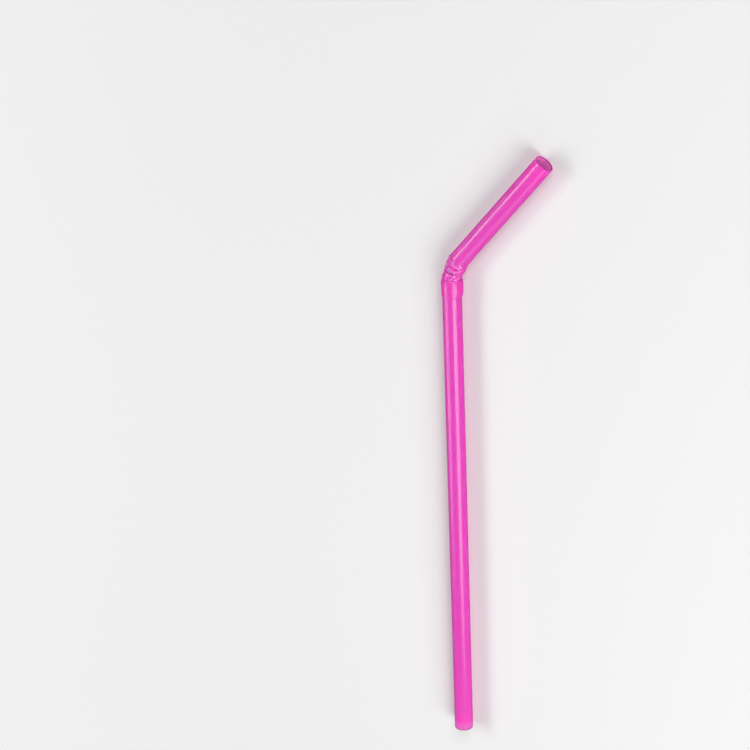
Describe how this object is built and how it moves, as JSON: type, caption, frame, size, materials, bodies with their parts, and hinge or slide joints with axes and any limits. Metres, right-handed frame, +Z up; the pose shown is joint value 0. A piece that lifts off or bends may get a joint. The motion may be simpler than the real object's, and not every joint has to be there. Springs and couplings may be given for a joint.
{
  "type": "flexible drinking straw",
  "caption": "Thin-walled round plastic drinking straw with a folded bellows neck near its mouth end, bent to one side and lying flat.",
  "frame": {"origin": "middle of the lying straw's footprint, on the surface that it lies on", "axes": "+Y along the leg from its foot to the folds, +X to the side that the arm bends to, +Z up from the surface"},
  "size_m": [0.0366, 0.1976, 0.0068],
  "materials": {
    "straw_plastic": "glossy, slightly translucent magenta polypropylene"
  },
  "bodies": {
    "root": {"straw": "straw_plastic"}
  },
  "joints": []
}
